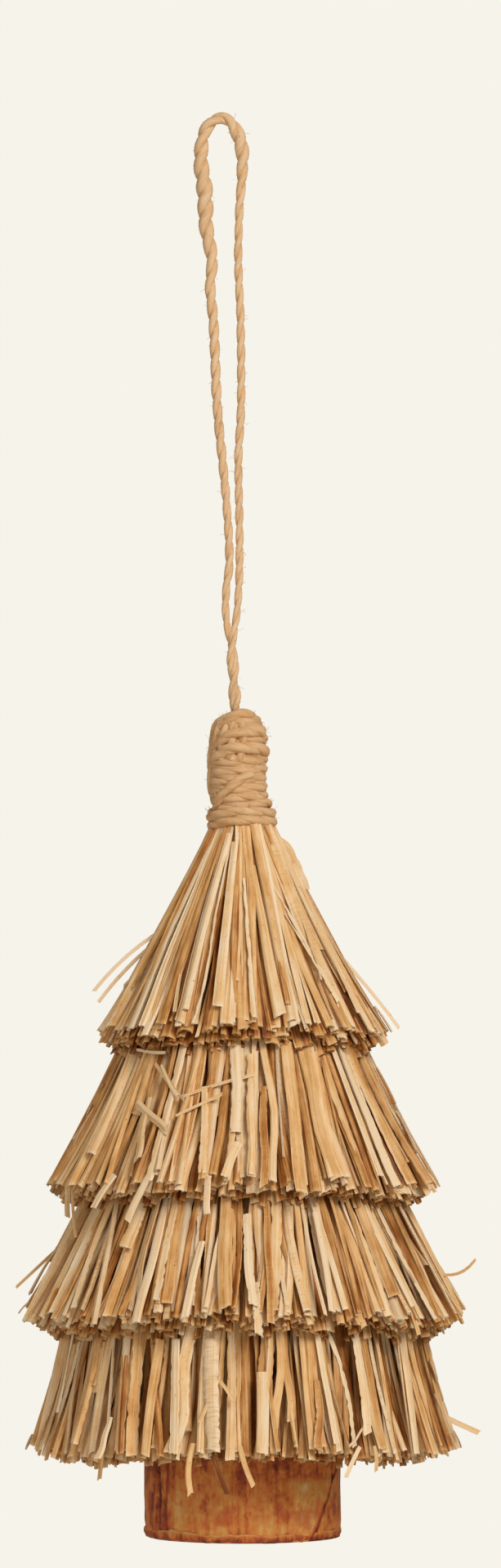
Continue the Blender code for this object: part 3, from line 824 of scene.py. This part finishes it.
def layer_of_straws(index, layer, chance):
    """One layer of a skirt, as arrays with a value for each straw."""
    tier = TIERS[index]
    start, hem, start_radius, hem_radius = PLACES[index]
    inwards = (layer / (tier.layers - 1)) ** 1.15
    depth = OUTER_DEPTH + inwards * (tier.band - OUTER_DEPTH)
    cover = tier.cover if layer < OUTER_LAYERS else INNER_COVER
    count = int(cover * 2 * pi * (hem_radius - depth) / tier.width)
    angle = 2 * pi * (np.arange(count) + chance.uniform(-1.1, 1.1, count)) / count
    width = tier.width * np.clip(chance.lognormal(-0.15, 0.55, count), 0.3, 2.1)
    depth = depth + chance.uniform(-0.4, 1.0, count) * tier.unevenness
    drop = tier.drop * min(1.0, inwards * tier.band / min(tier.band, DROP_BAND))
    rise = tier.front_rise * np.maximum(0.0, -np.sin(angle)) ** 2
    tip = hem + rise - drop + RAGGED * chance.normal(0, 1, count)
    if layer < OUTER_LAYERS:
        short = chance.random(count) < (SHORT_SHARES if index else SHORT_SHARES_TOP)[layer]
        tip = tip + np.where(short, chance.uniform(0.04, 0.5, count) * tier.reach, 0.0)
    top = start + (TUCK - GAP if index else NECK_RISE)
    lean = np.radians(chance.normal(0, tier.lean, count) + lock_lean(index, angle))
    if index:
        lean = np.where(chance.random(count) < LEANING_SHARE, lean * LEANING_MORE, lean)
    shift = np.tan(lean) * (top - tip) / (hem_radius - depth)
    top_depth = np.minimum(depth, ROOT_DEPTH) * 0.8
    root = polar(skirt_radius(index, top) - top_depth, angle - shift, top)
    ends = polar(np.minimum(skirt_radius(index, tip), hem_radius) - depth, angle, tip)
    tube = chance.random(count) < (TUBE_SHARE if layer < FEW_TUBES_LAYERS else INNER_TUBE_SHARE)
    across_stalk = chance.uniform(0.8, 1.7, count) * MM
    bend = STALK_RADIUS * chance.lognormal(0.0, 0.45, count)
    curl = np.where(tube, chance.uniform(*TUBE_CURL, count), np.clip(width / bend, 0.35, 2.8))
    edge_on = chance.random(count) < EDGE_ON_SHARE
    roll = np.radians(np.where(edge_on, chance.uniform(40, 80, count), chance.normal(0, 17, count)))
    # Painted shade: deeper layers get darker tones, as the shade between the straws deep in the skirt
    tone = chance.normal(tier.tone - tier.layer_shade * min(layer, 7), 0.2, count)
    tone = np.clip(tone, DARKEST_OUTER if layer < OUTER_LAYERS else 0.0, 1.0)
    width = np.where(tube, curl * across_stalk / 2, width)
    straws = plain_straws(root, ends, outwards(angle), width, tone, chance)
    straws |= {
        "thick": STRAW_THICKNESS * chance.uniform(0.7, 1.3, count),
        "curl": curl,
        "squash": np.where(tube, chance.uniform(0.55, 1.0, count), 1.0),
        "roll": np.where(tube, 0.0, roll),
        "root_roll": roll,
        "taper": chance.uniform(0.65, 0.95, count) if index == 0 else chance.uniform(0.85, 1.0, count),
        "bow": 0.1 * MM - tier.bow * ((top - tip) / (top - hem)) ** 2,
        "edge": chance.uniform(0.0, 0.12, count) * MM,
        "crease": np.where(tube, 0.01, CREASE),
        "own": chance.random(count),
        "tube": tube,
    }
    jitter(straws, chance, root_roll=0.35, bow=0.3 * MM, kick=0.3 * MM)
    jitter(straws, chance, sway=0.4 * MM, wander=0.22 * MM, skew=0.22)
    return straws


def stray_straws(index, chance):
    """The loose straws of one tier, as a batch."""
    start, hem = PLACES[index][:2]
    rows = np.array([stray[1:] for stray in STRAYS if stray.tier == index])
    around, down, flare, kick, sideways, length, width, tone = rows.T
    height = start + (hem - start) * down
    angle, lean, aside = np.radians([around, (flare + kick) / 2, sideways])
    out, side, up = outwards(angle), outwards(angle + pi / 2), np.array([0.0, 0.0, 1.0])
    across, rise = np.sin(lean)[:, None], np.cos(lean)[:, None]
    step = (out * across - up * rise) * np.cos(aside)[:, None] + side * np.sin(aside)[:, None]
    root = polar(skirt_radius(index, height) - STRAY_ROOT, angle, height)
    tip = root + step * length[:, None] * MM
    straws = plain_straws(root, tip, out * rise + up * across, width * MM, tone, chance)
    # Those at the sides turn their faces to the front
    straws["roll"] = straws["root_roll"] = -STRAY_TURN * np.cos(angle) ** 5
    straws["bow"] = np.radians(flare - kick) * 0.25 * length * MM
    jitter(straws, chance, roll=0.25, root_roll=0.25, sway=0.3 * MM, skew=0.5)
    return straws


def front_depth(index, x, z, proud):
    """How far back a skirt's front is, at x and z."""
    radius = min(skirt_radius(index, z), PLACES[index][3]) + proud
    return -sqrt(max(radius**2 - (x - TREE_X) ** 2, 0.0))


def front_point(index, x, z, proud):
    """The point on a skirt's front that the photograph shows at x and z."""
    nearer = 1 + front_depth(index, x, z, proud) / CAMERA_DISTANCE
    x = CAMERA_X + (x - CAMERA_X) * nearer
    z = CAMERA_Z + (z - CAMERA_Z) * nearer
    return (x, front_depth(index, x, z, proud), z)


def laid_straws(roots, tips, widths, tones, chance):
    """A batch of straws laid on a skirt between given ends."""
    outs = unit(((np.array(roots) + np.array(tips)) / 2 - (TREE_X, 0.0, 0.0)) * (1.0, 1.0, 0.0))
    straws = plain_straws(roots, tips, outs, widths, tones, chance)
    straws["curl"] = np.clip(straws["width"] / STALK_RADIUS, 0.35, 1.6)
    straws["taper"] = chance.uniform(0.8, 1.0, len(widths))
    straws["bow"] = straws["bow"] + 0.1 * MM
    straws["crease"] = straws["crease"] + CREASE
    jitter(straws, chance, roll=0.15, root_roll=0.25, sway=0.15 * MM, wander=0.1 * MM, skew=0.3)
    return straws


def marked_straws(index, marked, proud, chance):
    """Straws that the photograph shows on a skirt's front, standing proud of it at their ends."""
    roots = [front_point(index, mark.top_x * MM, mark.top_z * MM, proud - SUNK) for mark in marked]
    tips = [front_point(index, mark.tip_x * MM, mark.tip_z * MM, proud) for mark in marked]
    widths = [mark.width * MM for mark in marked]
    straws = laid_straws(roots, tips, widths, [mark.tone for mark in marked], chance)
    straws["edge"] = np.array([mark.torn * MM for mark in marked])
    if index == 0:
        straws["taper"] = chance.uniform(0.45, 0.65, len(marked))
    straws["own"] = np.array([1.0 if mark.rungs else own for mark, own in zip(marked, straws["own"])])
    return straws


def chips(index, chance):
    """Short broken pieces and hairs that lie on a skirt, on its sides and back."""
    start, hem = PLACES[index][:2]
    angle = chance.uniform(-0.3, pi + 0.3, CHIPS)
    level = start + (hem - start) * chance.uniform(0.15, 0.95, CHIPS)
    length = chance.uniform(3.0, 9.0, CHIPS) * MM
    lean = np.radians(chance.normal(0, 26, CHIPS))
    radius = skirt_radius(index, level) + 0.25 * MM
    low = np.maximum(level - length * np.cos(lean), hem)
    tip = polar(skirt_radius(index, low) + 0.45 * MM, angle + length * np.sin(lean) / radius, low)
    width = np.clip(chance.lognormal(-0.7, 0.7, CHIPS), 0.15, 1.6) * MM
    return laid_straws(polar(radius, angle, level), tip, width, chance.normal(0.75, 0.12, CHIPS), chance)


def straw_tier(index):
    """A whole skirt: its layers from the outside in, and its loose straws."""
    chance = np.random.default_rng(TIERS[index].seed)
    layers = [layer_of_straws(index, layer, chance) for layer in range(TIERS[index].layers)]
    parts = []
    for layer, straws in enumerate(layers):
        outer = layer < OUTER_LAYERS
        tube = straws["tube"]
        torn = (chance.random(len(tube)) < TORN_SHARE) & ~tube & outer
        straws["edge"] = np.where(torn, chance.uniform(*TORN_DEPTH_MM, len(tube)) * MM, straws["edge"])
        parts.append(straw_part(some(straws, ~tube & ~torn), OUTER_FLAT if outer else INNER_FLAT))
        parts.append(straw_part(some(straws, tube), OUTER_TUBE if outer else INNER_TUBE))
        if torn.any():
            parts.append(straw_part(some(straws, torn), TORN_FLAT))
    parts.append(straw_part(stray_straws(index, chance), STRAY_STRAW))
    for marks, proud in ((MARKED, MARKED_PROUD), (ACROSS, ACROSS_PROUD)):
        marked = [mark for mark in marks if mark.tier == index]
        if marked:
            parts.append(straw_part(marked_straws(index, marked, proud, chance), MARKED_STRAW))
    parts.append(straw_part(chips(index, chance), CHIP_STRAW))
    node = TIERS[index].node
    build(node + "_straws", parts, straw_finish(node + " straw"), node)


# Twine


def smooth_path(points, step):
    """Points at about every step along the smooth curve through a route of four-part points."""
    path = []
    last = len(points) - 1
    for i in range(last):
        before = points[max(i - 1, 0)]
        here, there = points[i], points[i + 1]
        after = points[min(i + 2, last)]
        pieces = max(1, round(np.linalg.norm((there - here)[:3]) / step))
        for k in range(pieces):
            t = k / pieces
            bend = 2 * before - 5 * here + 4 * there - after
            swing = 3 * here - before - 3 * there + after
            path.append(here + 0.5 * t * (there - before + t * (bend + t * swing)))
    path.append(points[-1])
    return np.array(path)


def directions(path):
    """The way ahead at each point of a path, and two directions across it that hardly turn."""
    ahead = unit(np.gradient(path, axis=0))
    side = np.empty_like(path)
    side[0] = unit(np.cross(ahead[0], (0.3, 1.0, 0.2)))
    for i in range(1, len(path)):
        side[i] = unit(side[i - 1] - ahead[i] * side[i - 1].dot(ahead[i]))
    return ahead, side, np.cross(ahead, side)


def twine_run(route, step):
    """Points along a route, their thickness, the way ahead and two directions across it."""
    path = smooth_path(route, step)
    return path[:, :3], path[:, 3], *directions(path[:, :3])


def twine_parts(
    route, chance, pitch=PLY_PITCH, apart=PLIES_APART, phase=0.0, step=TWINE_STEP, shade=TWINE_SHADE
):
    """Two plies of twine, twisted round each other along a route. The less apart, the rounder it looks."""
    line, scale, ahead, side, up = twine_run(route, step)
    gone = np.concatenate([[0.0], np.cumsum(np.linalg.norm(np.diff(line, axis=0), axis=1))])
    radius = 0.5 * TWINE * scale
    turn = 2 * pi * gone / pitch + phase
    around = 2 * pi * np.arange(PLY_SIDES) / PLY_SIDES
    there_and_back = 2 * np.abs((around / pi + 1) % 2 - 1)
    places = np.linspace(0, gone[-1], len(gone) // 4 + 2)
    parts = []
    for ply in range(2):
        angle = turn + pi * ply
        across = side * np.cos(angle)[:, None] + up * np.sin(angle)[:, None]
        centre = line + across * (apart * radius)[:, None]
        lumps = np.interp(gone, places, chance.normal(1, 0.05, len(places)))
        local = angle[:, None] + around[None, :]
        swell = ((1.02 - apart) * radius * lumps)[:, None] * (1 - 0.07 * np.cos(2 * around))[None, :]
        swell[[0, -1]] *= 0.1
        direction = side[:, None] * np.cos(local)[..., None] + up[:, None] * np.sin(local)[..., None]
        points = centre[:, None] + direction * swell[..., None]
        grain = np.empty((len(line), PLY_SIDES, 3))
        grain[..., 1] = (gone / MM)[:, None]
        grain[..., 0] = radius[:, None] / MM * there_and_back + 0.35 * grain[..., 1]
        grain[..., 2] = chance.random()
        # Painted light and shade: each ply is lighter on its back and darker in the groove towards the other
        # ply
        tone = np.broadcast_to(shade + 0.1 * np.cos(around), (len(line), PLY_SIDES))
        quads = grid_quads(len(line), PLY_SIDES, True)
        parts.append(Part(points.reshape(-1, 3), quads, grain.reshape(-1, 3), tone.reshape(-1)))
    return parts


def twine_hairs(route, count, chance):
    """Short loose fibres that stand off a run of twine."""
    line, scale, ahead, side, up = twine_run(route, TWINE_STEP)
    at = chance.integers(2, len(line) - 2, count)
    angle = chance.uniform(0, 2 * pi, count)[:, None]
    out = side[at] * np.cos(angle) + up[at] * np.sin(angle)
    root = line[at] + out * (0.42 * TWINE * scale[at])[:, None]
    forward = ahead[at] * chance.uniform(-1.0, 1.0, count)[:, None]
    tip = root + unit(forward + out * 0.8) * (chance.uniform(0.4, 1.1, count) * MM)[:, None]
    widths = chance.uniform(0.04, 0.07, count) * MM
    hairs = plain_straws(root, tip, unit(np.cross(out, ahead[at])), widths, np.full(count, 0.75), chance)
    hairs["thick"] = widths
    jitter(hairs, chance, bow=0.12 * MM, sway=0.12 * MM)
    return straw_part(hairs, HAIR)


def twisted_leg(side):
    """One leg of the twisted stretch, from the winding up to the fork: side is 0 for the left leg."""
    foot = BINDING_TOP + GAP
    points = []
    for i in range(TWIST_STEPS):
        share = i / (TWIST_STEPS - 1)
        angle = pi * (1 - side) - 2 * pi * TWIST_TURNS * (1 - share)
        centre = TWIST_FOOT_X + (TWIST_FORK_X - TWIST_FOOT_X) * share
        x = centre + TWIST_RADIUS * cos(angle)
        y = TWIST_RADIUS * sin(angle)
        points.append((x, y, foot + TWIST_HEIGHT * share, TWIST_THICKNESS))
    return points


def hanging_loop():
    """The loop of twine."""
    open_part = [(x * MM, y * MM, z * MM, thickness) for x, y, z, thickness in LOOP_ROUTE]
    route = np.array(twisted_leg(0) + open_part + twisted_leg(1)[::-1])
    chance = np.random.default_rng(LOOP_SEED)
    parts = twine_parts(route, chance)
    parts.append(twine_hairs(route, LOOP_HAIRS, chance))
    made = build("hanging_loop_twine", parts, twine_finish("loop twine"), "hanging_loop", 60)


def binding_radius(height):
    """The winding's radius at a height above its foot: a foot ring, a waist and a domed top."""
    if height < BINDING_FOOT:
        return BINDING_FOOT_RADIUS
    dome = (height - (BINDING_HEIGHT - BINDING_DOME)) / BINDING_DOME
    if dome <= 0:
        return BINDING_RADIUS
    rounding = sqrt(max(0.0, 1 - min(dome, 1.0) ** 2))
    return BINDING_TOP_RADIUS + (BINDING_RADIUS - BINDING_TOP_RADIUS) * rounding


def binding_point(degrees, share, lift, scale=1.0):
    """A point on the winding, at an angle and a share of its height, proud by some millimetres."""
    height = share * BINDING_HEIGHT
    radius = binding_radius(height) - TWINE / 2 + lift * MM
    lean = BINDING_LEAN * sin(pi * share) + BINDING_TOP_LEAN * max(0.0, share - 0.8) / 0.2
    angle = radians(degrees)
    x = TREE_X + lean + radius * cos(angle)
    if share < FOOT_SHARE:
        height += FOOT_ARCH * max(0.0, -sin(angle)) ** 2
    return (x, radius * sin(angle), BINDING_BOTTOM + height, scale)


def wound_route(first, last, pitch, lift, phase_deg):
    """A run of turns round the neck between two shares of the winding's height."""
    turns = (last - first) * BINDING_HEIGHT / pitch
    steps = ceil(turns * 16)
    points = []
    for i in range(steps + 1):
        share = i / steps
        wobble = 0.05 * sin(5.3 * share * turns + phase_deg)
        level = first + (last - first) * share
        points.append(binding_point(phase_deg + 360 * turns * share, level, lift + wobble))
    return np.array(points)


def top_binding():
    """Twine wound round the neck in two layers, with a knot of crossing strands over them."""
    chance = np.random.default_rng(BINDING_SEED)
    strands = list(BINDING_STRANDS)
    # Ten more run up over the dome
    for degrees in range(60, 300, 24):
        over = ((degrees, 0.6, 0.0), (degrees, 0.8, 0.1), (degrees + 5, 0.92, -0.4))
        strands.append(over + ((degrees + 12, 0.99, -1.9),))
    parts = []
    for number, run in enumerate(BINDING_RUNS):
        route = wound_route(*run)
        parts += twine_parts(route, chance, WOUND_PLY_PITCH, WOUND_APART, number, WOUND_STEP, WOUND_SHADE)
        parts.append(twine_hairs(route, RUN_HAIRS, chance))
    for number, strand in enumerate(strands):
        route = np.array([binding_point(*place) for place in strand])
        parts += twine_parts(route, chance, WOUND_PLY_PITCH, WOUND_APART, number, shade=WOUND_SHADE)
        parts.append(twine_hairs(route, STRAND_HAIRS, chance))
    build("top_binding_twine", parts, twine_finish("binding twine"), "top_binding", 60)


# Trunk


def bark_height(angle, height):
    """How far the bark stands out at an angle round the trunk and a height, in metres."""
    x, y = angle * TRUNK_RADIUS / MM, height / MM
    swell = noise.noise(Vector((x * 0.22, y * 0.06, 3.1)))
    fine = noise.fractal(Vector((x * 0.9, y * 0.35, 1.3)), 1.0, 2.0, 3)
    crease = 0.0
    for number, place in enumerate(BARK_CREASES):
        path = radians(place) * TRUNK_RADIUS / MM + 0.5 * noise.noise(Vector((y * 0.12, number, 6.0)))
        depth = 0.55 + 0.45 * noise.noise(Vector((y * 0.1, number, 2.0)))
        crease += depth * exp(-(((x - path) / CREASE_WIDTH_MM) ** 2))
    return BARK_SWELL * swell + BARK_FINE * fine - CREASE_DEPTH * crease


def bark_patches(angle, height):
    """How much paler the bark is at an angle round the trunk and a height, from patches of colour."""
    paler = 0.0
    for degrees, up, wide, tall, strength in BARK_PATCHES:
        turned = (angle - radians(degrees) + pi) % (2 * pi) - pi
        across = turned * TRUNK_RADIUS / (wide * MM)
        along = (height - TREE_FOOT - up * MM) / (tall * MM)
        paler += strength * exp(-(across**2) - along**2)
    return paler


def rings_part(rows, columns, spot):
    """A surface through rings of points, of which spot gives each one's place, grain and tone."""
    spots = [spot(row, column) for row in range(rows) for column in range(columns)]
    shape, grain, tone = (np.array(values) for values in zip(*spots))
    return Part(shape, grid_quads(rows, columns, True)[:, ::-1], grain, tone)


def bark_spot(row, column):
    """A point of the rolled sheet, from the top down and once round from its slanting seam."""
    hem = PLACES[-1][1]
    top = hem + TUCK - GAP
    height = top + (TREE_FOOT + 0.1 * MM - top) * row / (TRUNK_ROWS - 1)
    rise = (height - TREE_FOOT) / (top - TREE_FOOT)
    share = column / (TRUNK_COLUMNS - 1)
    turn = SEAM_GAP + (2 * pi - 2 * SEAM_GAP) * share
    angle = radians(BARK_SEAM_DEG + BARK_SEAM_SLANT_DEG * rise) + turn
    relief = bark_height((angle + pi) % (2 * pi) - pi, height)
    lap = BARK_STEP * (share - 0.5) + LAP_EDGE * max(0.0, share - 1 + LAP_SHARE) / LAP_SHARE
    tuck = FOOT_TUCK * max(0.0, 1 - (height - TREE_FOOT) / FOOT_TUCK_HEIGHT)
    place = polar(TRUNK_RADIUS - BARK_INSET + lap + relief - tuck, angle, height)
    # Painted shade under the hem, a painted shadow along the seam and painted shade under the lap's edge
    shade = HEM_SHADE * max(0.0, 1 - (hem - height) / HEM_SHADE_HEIGHT)
    shade += SEAM_SHADE * max(0.0, 1 - min(share, 1 - share) * TRUNK_COLUMNS / SEAM_COLUMNS)
    shade += LAP_SHADE * max(0.0, 1 - share / LAP_SHADE_SHARE)
    golden = GOLDEN * cos(angle - radians(GOLDEN_DEG)) + bark_patches(angle, height)
    # The relief is painted as shade too: darker in the creases, paler on the swells
    tone = 0.5 + golden + max(DARKEST_RELIEF, RELIEF_TONE * relief) - shade
    return place, (angle * TRUNK_RADIUS / MM, height / MM, 2.0), tone


def rim_spot(row, column):
    """A point of the bark's lower edge, folded up over itself: a pale torn edge above a fold painted darker,
    as shade, where it turns under.
    """
    crest_share, foot_share, up, proud, shade = RIM_ROWS[row]
    angle = 2 * pi * column / RIM_COLUMNS
    slow = noise.noise(Vector((2 * cos(angle), 2 * sin(angle), 5.0)))
    torn = noise.fractal(Vector((9 * cos(angle), 9 * sin(angle), 1.0)), 1.0, 2.0, 3)
    crest = RIM_HEIGHT * (0.95 + 0.3 * slow + 0.18 * torn)
    foot = 0.4 * MM * max(0.0, torn + 0.25)
    level = crest_share * crest + foot_share * foot + up * MM
    ripple = 0.12 * slow + 0.1 * torn if 0 < row < len(RIM_ROWS) - 1 else 0.0
    lap = BARK_STEP * ((angle - radians(BARK_SEAM_DEG)) / (2 * pi) % 1 - 0.5)
    place = polar(TRUNK_RADIUS + (proud + ripple) * MM + lap, angle, TREE_FOOT + level)
    return place, (angle * TRUNK_RADIUS / MM, level / MM, 6.0), shade + 0.3 * torn


def foot_spot(row, column):
    """A point of the underside, where the bark is pleated in towards the middle."""
    share = row / (FOOT_ROWS - 1)
    angle = 2 * pi * column / FOOT_COLUMNS
    pleat = abs(sin(PLEATS * angle + 2.2 * share + sin(3 * angle)))
    radius = (TRUNK_RADIUS - FOOT_INSET) * (1 - share) + FOOT_HOLE
    hollow = (FOOT_HOLLOW * share + PLEAT_DEPTH * pleat) * min(1.0, 5 * share)
    place = polar(radius, angle, TREE_FOOT + 0.05 * MM + hollow)
    across = radius / MM * 1.4
    grain = (across * cos(angle), across * sin(angle), 9.0)
    # Painted shade: darker along the pleats' creases and towards the hollow middle
    return place, grain, 0.5 - 0.3 * (1 - pleat) ** 3 - 0.15 * share


def trunk():
    """The trunk: a rolled sheet of bark with a slanting seam, its lower edge folded out and under."""
    parts = [
        rings_part(TRUNK_ROWS, TRUNK_COLUMNS, bark_spot),
        rings_part(len(RIM_ROWS), RIM_COLUMNS, rim_spot),
        rings_part(FOOT_ROWS, FOOT_COLUMNS, foot_spot),
    ]
    build("trunk_bark", parts, bark_finish("bark"), "trunk")


# Stage


def stage_floor():
    """A wide pale floor far below the ornament, see-through from underneath."""
    mesh = bpy.data.meshes.new("floor")
    turns = np.linspace(0, 2 * pi, FLOOR_SIDES, False)
    ring = [(FLOOR_RADIUS * cos(a), FLOOR_RADIUS * sin(a), FLOOR_LEVEL) for a in turns]
    mesh.from_pydata(ring, [], [range(FLOOR_SIDES)])
    paint = Paint(bpy.data.materials.new("floor"))
    paint.fill(paint.shader, {"Base Color": linear(BACKGROUND), "Roughness": 0.9})
    below = paint.node("NewGeometry", {}).outputs["Backfacing"]
    clear = paint.node("BsdfTransparent", {}).outputs[0]
    sides = {0: below, 1: paint.plain_to_camera("Emission"), 2: clear}
    paint.show(paint.node("MixShader", sides).outputs[0])
    mesh.materials.append(paint.owner)
    floor = add_object("floor", mesh)


def world():
    """Even pale light from all round, behind which the camera sees the plain background."""
    paint = Paint(bpy.data.worlds.new("studio"), "Background")
    bpy.context.scene.world = paint.owner
    paint.fill(paint.shader, {"Color": WORLD_COLOUR, "Strength": WORLD_STRENGTH})
    paint.show(paint.plain_to_camera("Background"))


def area_light(name, place, size, power, colour):
    """A soft square light that looks at the tree."""
    data = bpy.data.lights.new(name, "AREA")
    data.size = size
    data.energy = power
    data.color = colour
    made = add_object(name, data)
    made.location = place
    aim = Vector((TREE_X, 0.0, AIM_Z)) - Vector(place)
    made.rotation_euler = aim.to_track_quat("-Z", "Y").to_euler()


def camera():
    """The photograph's camera: level, square on, from far off."""
    data = bpy.data.cameras.new("camera")
    data.sensor_fit = "VERTICAL"
    data.sensor_height = SENSOR
    data.sensor_width = SENSOR
    data.lens = SENSOR * CAMERA_DISTANCE / FRAME_HEIGHT
    made = add_object("camera", data)
    made.location = (CAMERA_X, -CAMERA_DISTANCE, CAMERA_Z)
    made.rotation_euler = (radians(90), 0.0, 0.0)
    bpy.context.scene.camera = made


def main():
    """Make the whole scene."""
    camera()
    hanging_loop()
    for index in range(len(TIERS)):
        straw_tier(index)
    top_binding()
    trunk()
    stage_floor()
    world()
    for lamp in LAMPS:
        area_light(*lamp)
    bpy.context.scene.view_settings.view_transform = "Standard"


main()
